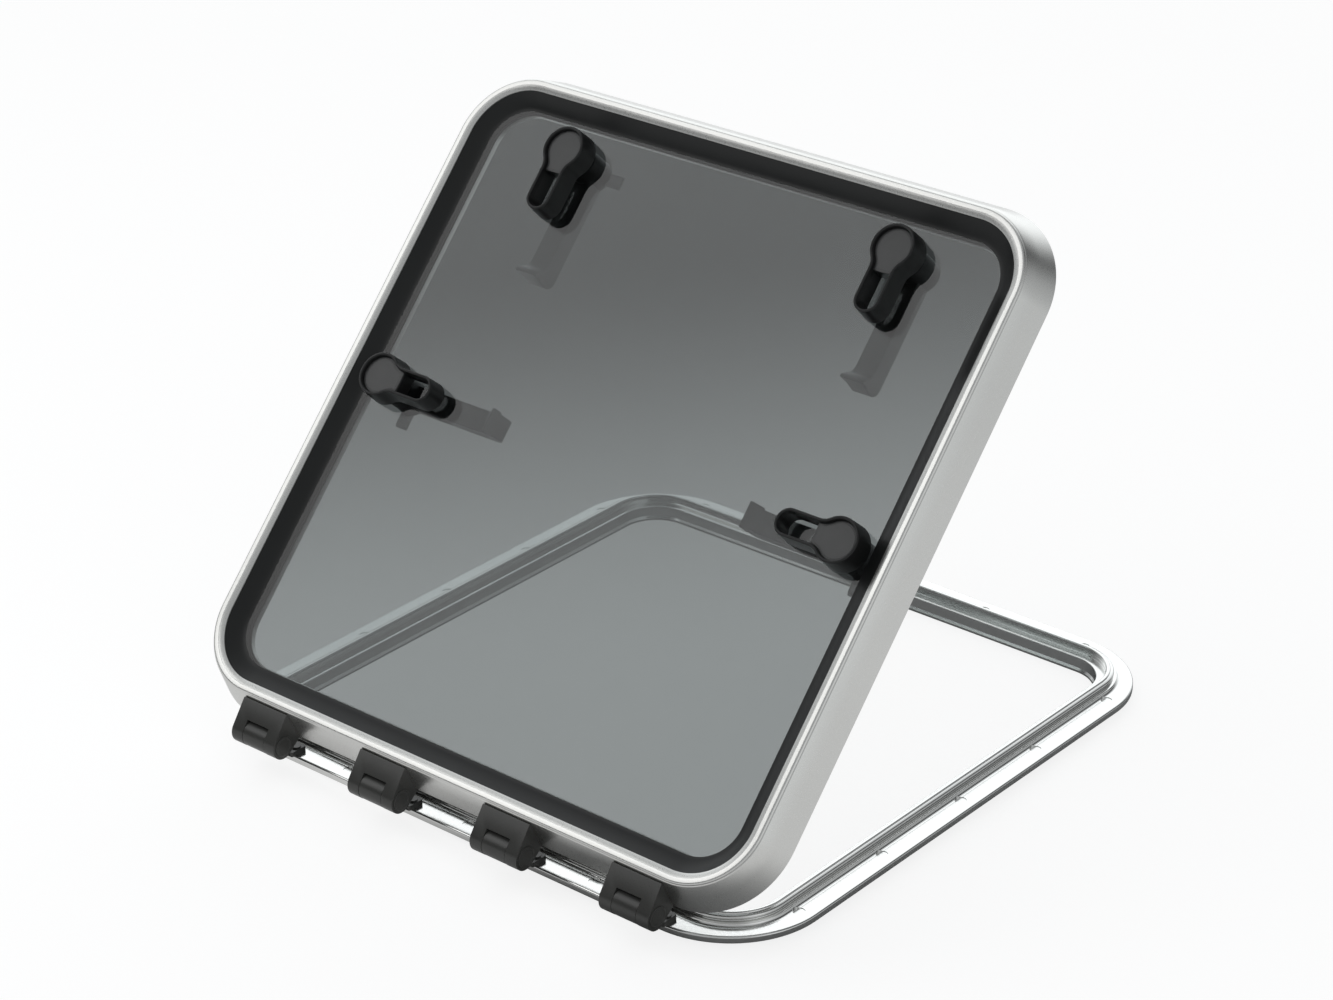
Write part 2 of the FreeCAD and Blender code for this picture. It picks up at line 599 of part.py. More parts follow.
def inner_handle(hand):
    """Cabin-side lever: round hub, hollow arm with a turned-up tip, and a side catch; hand is +1 or -1."""
    end = INNER_ARM_LENGTH
    tip = end - INNER_TIP_LENGTH
    lift = ARM_TOP + INNER_TIP_RISE
    third = INNER_HEEL * (1 - math.sqrt(0.5))
    crest = INNER_HEEL / 3
    profile = [(0.0, INNER_LOW), (-end + INNER_HEEL, INNER_LOW),
               ((-end + third, INNER_LOW + third), (-end, INNER_LOW + INNER_HEEL)),
               (-end + crest / 2, ARM_TOP), (-end + crest, lift), (-end + 2 * crest, lift - crest / 3),
               ((-tip - 2 * crest, ARM_TOP + crest), (-tip + crest, ARM_TOP)), (0.0, ARM_TOP)]

    def side_prism(half):
        wire = wire_of(profile, lambda y, z: V(-half, y, z))
        return Part.Face(wire).extrude(V(2 * half, 0, 0))

    half = INNER_ARM_HALF
    flare = side_prism(half + INNER_TIP_FLARE)
    flare = flare.common(block(-end, end, -end, -tip - crest, ARM_TOP, lift))
    hub = rod(INNER_HUB_RADIUS, 0, 0, INNER_LOW, HUB_TOP)
    catch = flat_prism([(0.0, CATCH_TOP), (CATCH_REACH - 2 * CATCH_RAMP, CATCH_TOP),
                        (CATCH_REACH, CATCH_TOP - CATCH_RAMP), (CATCH_REACH, INNER_LOW), (0.0, INNER_LOW)],
                       hand, CATCH_HALF)
    gusset_foot = SIDE_HANDLE_INSET - LIP_WIDTH - ARM_CLEAR
    gusset = flat_prism([(0.0, CATCH_TOP + GUSSET_RISE), (INNER_HUB_RADIUS, CATCH_TOP + GUSSET_RISE),
                         (gusset_foot, CATCH_TOP), (0.0, CATCH_TOP)], hand, GUSSET_HALF)
    body = side_prism(half).fuse([hub, flare, catch, gusset])
    width = half - INNER_WALL
    pocket = block(-width, width, -tip, -INNER_POCKET_START, INNER_LOW, ARM_TOP - INNER_WALL)
    pocket = pocket.makeFillet(INNER_POCKET_CORNER, edges_along_z(pocket))
    seat = SPINDLE_LOW - SQUARE_SHORT
    tools = [
        pocket, block(-SQUARE_HALF, SQUARE_HALF, -SQUARE_HALF, SQUARE_HALF, SPINDLE_LOW, HUB_TOP),
        rod(HANDLE_SCREW_RADIUS, 0, 0, INNER_LOW, HUB_TOP), rod(SCREW_POCKET_RADIUS, 0, 0, INNER_LOW, seat),
    ]
    return body.cut(Part.makeCompound(tools)).removeSplitter()


def flat_prism(steps, hand, half):
    """Prism of the given half width from (distance along X, height) steps."""
    return Part.Face(wire_of(steps, lambda x, z: V(hand * x, -half, z))).extrude(V(0, 2 * half, 0))


def on_lid(shape):
    """Turn a piece from the shut position to the position at rest."""
    copy = shape.copy()
    copy.rotate(V(0, AXIS_Y, AXIS_Z), X_AXIS, OPEN_ANGLE)
    return copy


def at_handle(shape, x, y, turn):
    copy = shape.copy()
    copy.rotate(V(0, 0, 0), Z_AXIS, turn)
    copy.translate(V(x, y, 0))
    return on_lid(copy)


def write(name, shape):
    shape.exportStep("parts/" + name + ".step")
    print(name, len(shape.Solids), "solids", round(shape.Volume / 1000, 2), "cm3", shape.isValid())


os.makedirs("parts", exist_ok=True)

write("base_frame", base_frame())
write("lid_frame", on_lid(lid_frame()))
write("pane", on_lid(pane()))
write("pane_seal", on_lid(pane_seal()))
write("lid_gasket", on_lid(lid_gasket()))

for number, x in enumerate(HINGE_X, 1):
    write("hinge_%d_lid_leaf" % number, on_lid(lid_leaf(x)))
    write("hinge_%d_base_leaf" % number, base_leaf(x))
    write("hinge_%d_pin" % number, on_lid(hinge_pin(x)))

caps = [on_lid(end_cap(x, side)) for x in HINGE_X for side in (-1, 1)]
write("hinge_end_caps", Part.makeCompound(caps))
write("hinge_friction_bushes", Part.makeCompound([friction_bush(x) for x in HINGE_X]))
write("hinge_lid_screws", Part.makeCompound([on_lid(leaf_screw(x)) for x in leaf_screw_places()]))
write("hinge_foot_screws", Part.makeCompound([foot_screw(x, y) for x, y in foot_screws()]))

for name, x, y, turn, hand in HANDLES:
    write(name + "_outer_handle", at_handle(outer_handle(), x, y, turn))
    write(name + "_handle_cap", at_handle(handle_cap(), x, y, turn))
    write(name + "_spindle", at_handle(spindle(), x, y, turn))
    write(name + "_handle_screws", at_handle(handle_screws(), x, y, turn))
    write(name + "_inner_handle", at_handle(inner_handle(hand), x, y, turn))
    write(name + "_pane_bush", at_handle(pane_bush(), x, y, turn))

seal_rings = [at_handle(seal_ring(), x, y, turn) for _, x, y, turn, _ in HANDLES]
write("handle_seal_rings", Part.makeCompound(seal_rings))
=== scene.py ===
import bmesh
import bpy
import json
import math
from mathutils import Matrix, Vector


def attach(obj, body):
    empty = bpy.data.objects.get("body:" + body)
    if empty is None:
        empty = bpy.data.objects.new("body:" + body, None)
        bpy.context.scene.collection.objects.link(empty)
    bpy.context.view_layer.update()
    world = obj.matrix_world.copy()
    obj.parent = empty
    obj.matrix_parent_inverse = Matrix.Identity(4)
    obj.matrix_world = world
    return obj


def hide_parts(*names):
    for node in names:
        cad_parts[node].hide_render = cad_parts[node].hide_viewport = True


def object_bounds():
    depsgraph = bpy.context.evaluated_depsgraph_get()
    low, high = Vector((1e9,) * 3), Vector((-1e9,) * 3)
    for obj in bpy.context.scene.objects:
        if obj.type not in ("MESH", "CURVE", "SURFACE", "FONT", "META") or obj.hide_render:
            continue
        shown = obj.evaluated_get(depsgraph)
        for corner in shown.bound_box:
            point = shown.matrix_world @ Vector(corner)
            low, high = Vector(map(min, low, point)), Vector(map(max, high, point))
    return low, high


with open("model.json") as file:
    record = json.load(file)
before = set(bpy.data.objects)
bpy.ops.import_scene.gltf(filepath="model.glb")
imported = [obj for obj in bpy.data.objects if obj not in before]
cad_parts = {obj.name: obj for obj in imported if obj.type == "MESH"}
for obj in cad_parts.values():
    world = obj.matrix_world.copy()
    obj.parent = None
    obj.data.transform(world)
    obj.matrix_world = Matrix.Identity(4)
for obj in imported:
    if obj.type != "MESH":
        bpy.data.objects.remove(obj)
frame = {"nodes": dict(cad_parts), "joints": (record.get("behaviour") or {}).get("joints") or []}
cad_low, cad_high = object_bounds()

mm = 0.001
scene = bpy.context.scene
scene.view_settings.view_transform = "Standard"

# Camera. It stands to the right of the hinge edge and looks down on the open lid through a long lens,
# from about three metres away.
azimuth = math.radians(39.71)
elevation = math.radians(26.27)
aim = Vector((-65.5, 44.5, 154.1)) * mm
distance = 3068.4 * mm
back = Vector((math.sin(azimuth) * math.cos(elevation), -math.cos(azimuth) * math.cos(elevation),
               math.sin(elevation)))
lens = bpy.data.cameras.new("camera")
lens.lens = 95.1
lens.sensor_width = 36.0
lens.clip_start = 0.05
lens.clip_end = 60.0
camera = bpy.data.objects.new("camera", lens)
camera.location = aim + back * distance
camera.rotation_euler = back.to_track_quat("Z", "Y").to_euler()
scene.collection.objects.link(camera)
scene.camera = camera

# Floor. A wide white sheet just under the spigot. The camera sees it white with a soft shadow. Metal
# mirrors its glow bright in front and farther out, with painted shade near the object, and through the
# smoked pane its glow falls off to grey, a painted shade farther back.
floor_level = cad_low.z - 0.2 * mm
floor_reach = 14.0
floor_white = 0.62
seen_white = 0.25
seen_glow = 0.84
mirror_white = 0.34
mirror_glow = 0.52
mirror_start = 0.42
mirror_end = 0.62
front_way = (-0.3, -0.95, 0.0)
front_start = 0.25
front_end = 0.34
near_glow = 0.72
far_glow = 0.12
fall_way = (-0.78, 0.65, 0.0)
fall_start = 0.05
fall_end = 1.05


def ray_choice(tree, ray, usual, special):
    """One shader for most rays and another for one kind of ray."""
    path = tree.nodes.new("ShaderNodeLightPath")
    choice = tree.nodes.new("ShaderNodeMixShader")
    tree.links.new(path.outputs[ray], choice.inputs[0])
    tree.links.new(usual, choice.inputs[1])
    tree.links.new(special, choice.inputs[2])
    return choice.outputs[0]


def smooth_step(tree, source, start, end, low, high):
    """Eases from one value to another as a source rises."""
    ease = tree.nodes.new("ShaderNodeMapRange")
    ease.interpolation_type = "SMOOTHSTEP"
    ease.inputs["From Min"].default_value = start
    ease.inputs["From Max"].default_value = end
    ease.inputs["To Min"].default_value = low
    ease.inputs["To Max"].default_value = high
    tree.links.new(source, ease.inputs["Value"])
    return ease.outputs["Result"]


def lit_and_glowing(tree, white, glow):
    """A white diffuse surface that also gives off a little light."""
    plain = tree.nodes.new("ShaderNodeBsdfDiffuse")
    plain.inputs["Color"].default_value = (white, white, white, 1)
    lift = tree.nodes.new("ShaderNodeEmission")
    if isinstance(glow, float):
        lift.inputs["Strength"].default_value = glow
    else:
        tree.links.new(glow, lift.inputs["Strength"])
    both = tree.nodes.new("ShaderNodeAddShader")
    tree.links.new(plain.outputs[0], both.inputs[0])
    tree.links.new(lift.outputs[0], both.inputs[1])
    return both.outputs[0]


bm = bmesh.new()
bmesh.ops.create_grid(bm, x_segments=1, y_segments=1, size=floor_reach)
bmesh.ops.translate(bm, verts=bm.verts, vec=(0, 0, floor_level))
sheet = bpy.data.meshes.new("floor")
bm.to_mesh(sheet)
bm.free()
floor = bpy.data.objects.new("floor", sheet)
scene.collection.objects.link(floor)

white_floor = bpy.data.materials.new("white_floor")
white_floor.use_nodes = True
tree = white_floor.node_tree
tree.nodes.clear()
output = tree.nodes.new("ShaderNodeOutputMaterial")
place = tree.nodes.new("ShaderNodeTexCoord")
along = tree.nodes.new("ShaderNodeVectorMath")
along.operation = "DOT_PRODUCT"
along.inputs[1].default_value = fall_way
tree.links.new(place.outputs["Object"], along.inputs[0])
# Painted shade: the glow seen through the pane falls off from near to far along one way.
fall = smooth_step(tree, along.outputs["Value"], fall_start, fall_end, near_glow, far_glow)
through = tree.nodes.new("ShaderNodeEmission")
tree.links.new(fall, through.inputs["Strength"])
away = tree.nodes.new("ShaderNodeVectorMath")
away.operation = "LENGTH"
tree.links.new(place.outputs["Object"], away.inputs[0])
ahead = tree.nodes.new("ShaderNodeVectorMath")
ahead.operation = "DOT_PRODUCT"
ahead.inputs[1].default_value = front_way
tree.links.new(place.outputs["Object"], ahead.inputs[0])
# Painted shade: the glow that metal mirrors is nil near the object and rises farther out and in front.
far_out = smooth_step(tree, away.outputs["Value"], mirror_start, mirror_end, 0.0, mirror_glow)
in_front = smooth_step(tree, ahead.outputs["Value"], front_start, front_end, 0.0, mirror_glow)
wider = tree.nodes.new("ShaderNodeMath")
wider.operation = "MAXIMUM"
tree.links.new(far_out, wider.inputs[0])
tree.links.new(in_front, wider.inputs[1])
shader = ray_choice(tree, "Is Glossy Ray", lit_and_glowing(tree, floor_white, 0.0),
                    lit_and_glowing(tree, mirror_white, wider.outputs[0]))
shader = ray_choice(tree, "Is Transmission Ray", shader, through.outputs[0])
shader = ray_choice(tree, "Is Camera Ray", shader, lit_and_glowing(tree, seen_white, seen_glow))
tree.links.new(shader, output.inputs["Surface"])
sheet.materials.append(white_floor)

# Room. Studio walls of soft light round the object: a bright one behind to the left, a paler one to the
# right, and dark ones behind to the right and at the front left. The camera sees it white. Each wall is
# given by its direction, the cosines where its light begins and is full, and its strength.
room_level = 0.42
room_tone = (0.96, 0.985, 1.0, 1)
glass_view = 0.7
walls = [
    ((-0.573, 0.74, 0.20), 0.45, 0.92, 1.0),
    ((0.974, 0.226, -0.017), 0.55, 0.92, 0.44),
    ((0.573, 0.690, 0.443), 0.62, 0.92, -0.37),
    ((-0.573, -0.690, 0.443), 0.88, 0.96, -0.34),
]

room = bpy.data.worlds.new("room")
scene.world = room
room.use_nodes = True
tree = room.node_tree
tree.nodes.clear()
output = tree.nodes.new("ShaderNodeOutputWorld")
look = tree.nodes.new("ShaderNodeTexCoord")
total = None
for way, rim, full, strength in walls:
    facing = tree.nodes.new("ShaderNodeVectorMath")
    facing.operation = "DOT_PRODUCT"
    facing.inputs[1].default_value = Vector(way).normalized()
    tree.links.new(look.outputs["Generated"], facing.inputs[0])
    added = tree.nodes.new("ShaderNodeMath")
    added.operation = "ADD"
    tree.links.new(smooth_step(tree, facing.outputs["Value"], rim, full, 0.0, strength), added.inputs[1])
    if total is None:
        added.inputs[0].default_value = room_level
    else:
        tree.links.new(total, added.inputs[0])
    total = added.outputs[0]
soft = tree.nodes.new("ShaderNodeBackground")
soft.inputs["Color"].default_value = room_tone
tree.links.new(total, soft.inputs["Strength"])
glassy = tree.nodes.new("ShaderNodeBackground")
glassy.inputs["Color"].default_value = (1, 1, 1, 1)
glassy.inputs["Strength"].default_value = glass_view
paper = tree.nodes.new("ShaderNodeBackground")
paper.inputs["Color"].default_value = (1, 1, 1, 1)
shader = ray_choice(tree, "Is Transmission Ray", soft.outputs[0], glassy.outputs[0])
shader = ray_choice(tree, "Is Camera Ray", shader, paper.outputs[0])
tree.links.new(shader, output.inputs["Surface"])

# Softbox. One large square lamp stands front left, where the pane and the bezel mirror it to the camera.
lid_middle = Vector((0, -109, 268)) * mm
key_way = Vector((-0.573, -0.501, 0.649))
key_distance = 2.6
key_side = 1.5
key_radiance = 1.35
light = bpy.data.lights.new("key_softbox", "AREA")
light.shape = "SQUARE"
light.size = key_side
light.energy = key_radiance * math.pi * key_side ** 2
lamp = bpy.data.objects.new("key_softbox", light)
lamp.location = lid_middle + key_way * key_distance
lamp.rotation_euler = key_way.to_track_quat("Z", "Y").to_euler()
scene.collection.objects.link(lamp)

# Base frame. One bright anodised extrusion bent round four corners: flange, grooved upstand with a slim
# ridge, inner ledge, and spigot into the deck cut-out. Eighteen countersunk holes take the deck screws.
flange_half = 300.0
flange_corner = 87.0
flange_top = 6.2
rim_centre = 226.0
ridge_out = 275.0
ridge_in = 271.3
ridge_top = 16.0
foot_out = ridge_out + 8.8
groove_height = 9.8
ledge_top = 8.0
opening_half = 262.7
lip_half = 260.9
spigot_out = 273.0
spigot_low = -6.0
hole_line = 286.4
hole_pitch = 108.6
hole_radius = 2.75
sink_radius = 5.2
hinge_pitch = 135.4
foot_in = 286.5
foot_hole_line = (foot_in + flange_half) / 2
foot_hole_aside = 12.0
foot_hole_radius = 1.9
weld = 0.001 * mm
seam = 0.01 * mm
sharp_angle = 35.0
noise_low = 0.3
noise_high = 0.7


def make_piece(name, bm, material, body, nodes, place=None):
    """Turns a bmesh into a shaded piece that rides on a body and stands for CAD nodes."""
    bmesh.ops.remove_doubles(bm, verts=bm.verts, dist=weld)
    bmesh.ops.recalc_face_normals(bm, faces=bm.faces)
    mesh = bpy.data.meshes.new(name)
    bm.to_mesh(mesh)
    bm.free()
    mesh.shade_smooth()
    mesh.set_sharp_from_angle(angle=math.radians(sharp_angle))
    if place is not None:
        mesh.transform(place)
    mesh.materials.append(material)
    piece = bpy.data.objects.new(name, mesh)
    scene.collection.objects.link(piece)
    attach(piece, body)
    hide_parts(*nodes)
    return piece


def cut_mesh(solid, tool, how="DIFFERENCE"):
    """One bmesh joined to, or cut by, another with an exact boolean."""
    pair = []
    for part in (solid, tool):
        bmesh.ops.remove_doubles(part, verts=part.verts, dist=weld)
        bmesh.ops.recalc_face_normals(part, faces=part.faces)
        mesh = bpy.data.meshes.new("work")
        part.to_mesh(mesh)
        part.free()
        work = bpy.data.objects.new("work", mesh)
        scene.collection.objects.link(work)
        pair.append(work)
    change = pair[0].modifiers.new("cut", "BOOLEAN")
    change.operation = how
    change.solver = "EXACT"
    change.object = pair[1]
    bpy.context.view_layer.update()
    result = bpy.data.meshes.new_from_object(pair[0].evaluated_get(bpy.context.evaluated_depsgraph_get()))
    bm = bmesh.new()
    bm.from_mesh(result)
    bpy.data.meshes.remove(result)
    for work in pair:
        mesh = work.data
        bpy.data.objects.remove(work)
        bpy.data.meshes.remove(mesh)
    return bm


def arc(cx, cy, radius, start, end, steps):
    """Points of an arc in a plane, with angles in degrees."""
    turn = [math.radians(start + (end - start) * i / steps) for i in range(steps + 1)]
    return [(cx + radius * math.cos(t), cy + radius * math.sin(t)) for t in turn]


def square_ring(profile, centre, steps=24):
    """A closed section of (half width, height) drawn along four sides and round four corners."""
    bm = bmesh.new()
    start = [bm.verts.new((r * mm, -centre * mm, z * mm)) for r, z in profile]
    front = [bm.edges.new(pair) for pair in zip(start, start[1:] + start[:1])]
    for quarter in range(4):
        turn = Matrix.Rotation(math.radians(90 * quarter), 4, "Z")
        drawn = bmesh.ops.extrude_edge_only(bm, edges=front)["geom"]
        moved = [v for v in drawn if isinstance(v, bmesh.types.BMVert)]
        bmesh.ops.translate(bm, verts=moved, vec=turn @ Vector((0, 2 * centre * mm, 0)))
        front = [e for e in drawn if isinstance(e, bmesh.types.BMEdge) and all(v in moved for v in e.verts)]
        bent = bmesh.ops.spin(bm, geom=moved + front, cent=turn @ Vector((centre * mm, centre * mm, 0)),
                              axis=(0, 0, 1), angle=math.radians(90), steps=steps)["geom_last"]
        front = [e for e in bent if isinstance(e, bmesh.types.BMEdge)]
    bmesh.ops.remove_doubles(bm, verts=bm.verts, dist=seam)
    return bm


def square_plate(half, corner, z0, z1, steps=24):
    """A square slab with round corners."""
    centre = half - corner
    bm = bmesh.new()
    here = bm.verts.new((half * mm, -centre * mm, z0 * mm))
    for quarter in range(4):
        turn = Matrix.Rotation(math.radians(90 * quarter), 4, "Z")
        drawn = bmesh.ops.extrude_vert_indiv(bm, verts=[here])["verts"]
        bmesh.ops.translate(bm, verts=drawn, vec=turn @ Vector((0, 2 * centre * mm, 0)))
        bent = bmesh.ops.spin(bm, geom=drawn, cent=turn @ Vector((centre * mm, centre * mm, 0)),
                              axis=(0, 0, 1), angle=math.radians(90), steps=steps)["geom_last"]
        here = next(v for v in bent if isinstance(v, bmesh.types.BMVert))
    bmesh.ops.remove_doubles(bm, verts=bm.verts, dist=seam)
    face = bmesh.ops.contextual_create(bm, geom=list(bm.edges))["faces"]
    raised = bmesh.ops.extrude_face_region(bm, geom=face)["geom"]
    moved = [v for v in raised if isinstance(v, bmesh.types.BMVert)]
    bmesh.ops.translate(bm, verts=moved, vec=(0, 0, (z1 - z0) * mm))
    return bm


def add_round(bm, radius0, radius1, x, y, z0, z1, sides=48):
    """Adds a closed cone or cylinder that stands along Z."""
    made = bmesh.ops.create_cone(bm, cap_ends=True, segments=sides, radius1=radius0 * mm,
                                 radius2=radius1 * mm, depth=(z1 - z0) * mm)["verts"]
    bmesh.ops.translate(bm, verts=made, vec=(x * mm, y * mm, (z0 + z1) / 2 * mm))


def nodes_of(material):
    """The node tree and its shader, for a material that is being made."""
    material.use_nodes = True
    return material.node_tree, material.node_tree.nodes["Principled BSDF"]


def surface_noise(tree, scale, detail=3.0, stretch=(1, 1, 1)):
    """Noise on the piece's own coordinates, stretched where a finish has a grain."""
    place = tree.nodes.new("ShaderNodeTexCoord")
    turn = tree.nodes.new("ShaderNodeMapping")
    turn.inputs["Scale"].default_value = stretch
    noise = tree.nodes.new("ShaderNodeTexNoise")
    noise.inputs["Scale"].default_value = scale
    noise.inputs["Detail"].default_value = detail
    tree.links.new(place.outputs["Object"], turn.inputs["Vector"])
    tree.links.new(turn.outputs["Vector"], noise.inputs["Vector"])
    return noise.outputs["Fac"]


def polish(tree, shader, source, low, high):
    """Gives the shader a roughness that follows a texture."""
    ramp = tree.nodes.new("ShaderNodeMapRange")
    ramp.inputs["From Min"].default_value = noise_low
    ramp.inputs["From Max"].default_value = noise_high
    ramp.inputs["To Min"].default_value = low
    ramp.inputs["To Max"].default_value = high
    tree.links.new(source, ramp.inputs["Value"])
    tree.links.new(ramp.outputs["Result"], shader.inputs["Roughness"])


def paint(tree, shader, source, dark, light):
    """Gives the shader a colour that follows a texture from dark to light."""
    ramp = tree.nodes.new("ShaderNodeValToRGB")
    ramp.color_ramp.elements[0].position = noise_low
    ramp.color_ramp.elements[1].position = noise_high
    ramp.color_ramp.elements[0].color = (*dark, 1)
    ramp.color_ramp.elements[1].color = (*light, 1)
    tree.links.new(source, ramp.inputs["Fac"])
    tree.links.new(ramp.outputs["Color"], shader.inputs["Base Color"])


def relief(tree, shader, source, height, strength):
    """Gives the shader a fine bump from a texture."""
    bump = tree.nodes.new("ShaderNodeBump")
    bump.inputs["Strength"].default_value = strength
    bump.inputs["Distance"].default_value = height
    tree.links.new(source, bump.inputs["Height"])
    tree.links.new(bump.outputs["Normal"], shader.inputs["Normal"])


bright_anodised = bpy.data.materials.new("bright_anodised")
tree, metal = nodes_of(bright_anodised)
metal.inputs["Metallic"].default_value = 1.0
cloudy = surface_noise(tree, 9.0, 4.0)
fine = surface_noise(tree, 900.0, 2.0)
paint(tree, metal, cloudy, (0.74, 0.745, 0.735), (0.79, 0.79, 0.775))
polish(tree, metal, fine, 0.12, 0.19)
relief(tree, metal, fine, 0.006 * mm, 0.08)

rim_profile = (
    [(spigot_out, 0.6), (foot_out - 0.4, 0.6), (foot_out - 0.4, flange_top - 0.8), (foot_out, flange_top)]
    + arc(foot_out, groove_height - 0.4, groove_height - 0.4 - flange_top, 270, 180, 6)[1:]
    + [(279.2, groove_height - 0.3), (277.3, groove_height - 0.1), (277.0, groove_height + 0.35)]
    + arc(275.8, 12.1, 2.4, -50, 60, 7)
    + arc(ridge_out - 1.35, ridge_top - 1.35, 1.35, 0, 90, 5)
    + arc(ridge_in + 1.35, ridge_top - 1.35, 1.35, 90, 180, 5)
    + [(ridge_in, 12.4), (ridge_in + 0.45, 12.15), (ridge_in + 0.45, 11.75), (ridge_in, 11.5)]
    + [(ridge_in, ledge_top + 0.5), (ridge_in - 0.5, ledge_top), (opening_half + 0.9, ledge_top)]
    + arc(opening_half + 0.9, ledge_top - 0.9, 0.9, 90, 180, 4)[1:]
    + [(opening_half, -1.7), (opening_half - 0.12, -2.0), (lip_half + 0.12, -3.6), (lip_half, -3.9)]
    + [(lip_half, spigot_low + 0.5), (lip_half + 0.5, spigot_low)]
    + [(spigot_out - 0.5, spigot_low), (spigot_out, spigot_low + 0.5)]
)
flange_profile = (
    [(274.0, 0.0), (flange_half - 0.5, 0.0), (flange_half, 0.5), (flange_half, flange_top - 1.8)]
    + arc(flange_half - 1.8, flange_top - 1.8, 1.8, 0, 90, 6)[1:]
    + [(274.0, flange_top)]
)
flange = square_ring(flange_profile, flange_half - flange_corner)
opening = square_plate(spigot_out - 0.1, spigot_out - 0.1 - rim_centre, -20.0, 30.0)
flange = cut_mesh(flange, opening)
section = cut_mesh(square_ring(rim_profile, rim_centre), flange, "UNION")
drill = bmesh.new()
row = [step * hole_pitch for step in range(-2, 3)]
deck_holes = [(side * hole_line, y) for side in (-1, 1) for y in row] + [(x, hole_line) for x in row]
deck_holes += [(step * hinge_pitch, -hole_line) for step in (-1, 0, 1)]
for x, y in deck_holes:
    add_round(drill, hole_radius, hole_radius, x, y, -1.0, 3.0)
    add_round(drill, hole_radius, sink_radius, x, y, 2.99, 5.75)
    add_round(drill, sink_radius, sink_radius, x, y, 5.74, 8.5)
for number in range(4):
    for side in (-1, 1):
        x = (number - 1.5) * hinge_pitch + side * foot_hole_aside
        add_round(drill, foot_hole_radius, foot_hole_radius, x, -foot_hole_line, 1.0, 8.0)
make_piece("base_frame_metal", cut_mesh(section, drill), bright_anodised, "base", ["base_frame"])

# Lid placing. Every piece of the lid is modelled with the lid shut, and then turned about the hinge axis
# to the angle at which it rests.
lid_hinge = next(joint for joint in frame["joints"] if joint["name"] == "lid_hinge")
open_angle = -math.radians(lid_hinge["range_deg"][0])
hinge_point = Vector(lid_hinge["pos_m"])
to_open = (Matrix.Translation(hinge_point) @ Matrix.Rotation(open_angle, 4, "X")
           @ Matrix.Translation(-hinge_point))

# Lid frame. A satin anodised extrusion with a rounded bead and a leaning inner strip on its face, a
# sloping skirt, and an inner leg with the ledge that carries the pane and the channel for the gasket.
lid_centre = 231.0
lid_top = 46.6
lid_low = 14.2
lid_front = 292.8
lid_back = 306.0
lid_wall = 3.0
bezel_in = 282.8
strip_out = 287.4
strip_radius = 20.5
strip_lean = 16.0
bead_radius = 2.0
bead_middle = 290.9
pane_top = 34.9
pane_low = 24.9
pane_ledge = 23.4
web_low = 20.4
leg_in = 266.0
channel_in = 268.15
channel_out = 278.15
channel_low = 18.2
hollow_top = 43.0
lean = (lid_back - lid_front) / (lid_top - lid_low)


def skirt(z):
    """Half width of the lid's outer face at a height, lid shut."""
    return lid_back - lean * (z - lid_low)


satin_anodised = bpy.data.materials.new("satin_anodised")
tree, metal = nodes_of(satin_anodised)
metal.inputs["Metallic"].default_value = 1.0
cloudy = surface_noise(tree, 6.0, 4.0)
fine = surface_noise(tree, 1400.0, 2.0)
paint(tree, metal, cloudy, (0.70, 0.70, 0.682), (0.735, 0.735, 0.715))
polish(tree, metal, fine, 0.26, 0.34)
relief(tree, metal, fine, 0.006 * mm, 0.15)

groove = lid_top - 2.1
strip_high = lid_top - 0.4
strip_x = strip_out + strip_radius * math.sin(math.radians(strip_lean))
strip_z = strip_high - strip_radius * math.cos(math.radians(strip_lean))
strip = arc(strip_x, strip_z, strip_radius, 90 + strip_lean, 120, 6)
lid_profile = (
    [(lid_back - lid_wall, lid_low), (lid_back - 0.5, lid_low), (lid_back - 0.15, lid_low + 0.4)]
    + [(skirt(20.0), 20.0), (skirt(30.0), 30.0), (skirt(groove - 0.8), groove - 0.8)]
    + [(skirt(groove) - 0.2, groove - 0.15), (lid_front + 0.45, groove), (lid_front + 0.1, groove + 0.25)]
    + arc(bead_middle, lid_top - bead_radius, bead_radius, 8, 96, 10)
    + [(strip_out + 0.5, lid_top - 0.12), (strip_out + 0.15, lid_top - 0.2)]
    + strip
    + [(bezel_in + 0.12, strip[-1][1] - 0.35), (bezel_in, strip[-1][1] - 0.8)]
    + [(bezel_in, pane_ledge), (leg_in, pane_ledge), (leg_in, channel_low), (channel_in, channel_low)]
    + [(channel_in, web_low), (channel_out, web_low), (channel_out, channel_low)]
    + [(channel_out + 2.0, channel_low), (channel_out + 2.0, web_low), (bezel_in + 3.0, web_low)]
    + [(bezel_in + 3.0, hollow_top), (skirt(hollow_top) - lid_wall, hollow_top)]
)
make_piece("lid_frame_metal", square_ring(lid_profile, lid_centre, 36), satin_anodised, "lid",
           ["lid_frame"], to_open)

# Pane. A ten millimetre smoked acrylic sheet with polished edges, drilled for the four handle bushes.
pane_half = 280.0
bush_hole = 8.05
handle_places = {joint["child"]: to_open.inverted() @ Vector(joint["pos_m"])
                 for joint in frame["joints"] if joint["name"] != "lid_hinge"}

smoked_acrylic = bpy.data.materials.new("smoked_acrylic")
tree, acrylic = nodes_of(smoked_acrylic)
acrylic.inputs["Transmission Weight"].default_value = 1.0
acrylic.inputs["IOR"].default_value = 1.53
acrylic.inputs["Roughness"].default_value = 0.0
haze = surface_noise(tree, 3.5, 3.0)
paint(tree, acrylic, haze, (0.262, 0.288, 0.29), (0.272, 0.298, 0.30))

slab = square_plate(pane_half, pane_half - lid_centre, pane_low, pane_top, 36)
drill = bmesh.new()
for place in handle_places.values():
    add_round(drill, bush_hole, bush_hole, place.x / mm, place.y / mm, pane_low - 2, pane_top + 2, 40)
make_piece("smoked_pane", cut_mesh(slab, drill), smoked_acrylic, "lid", ["pane"], to_open)

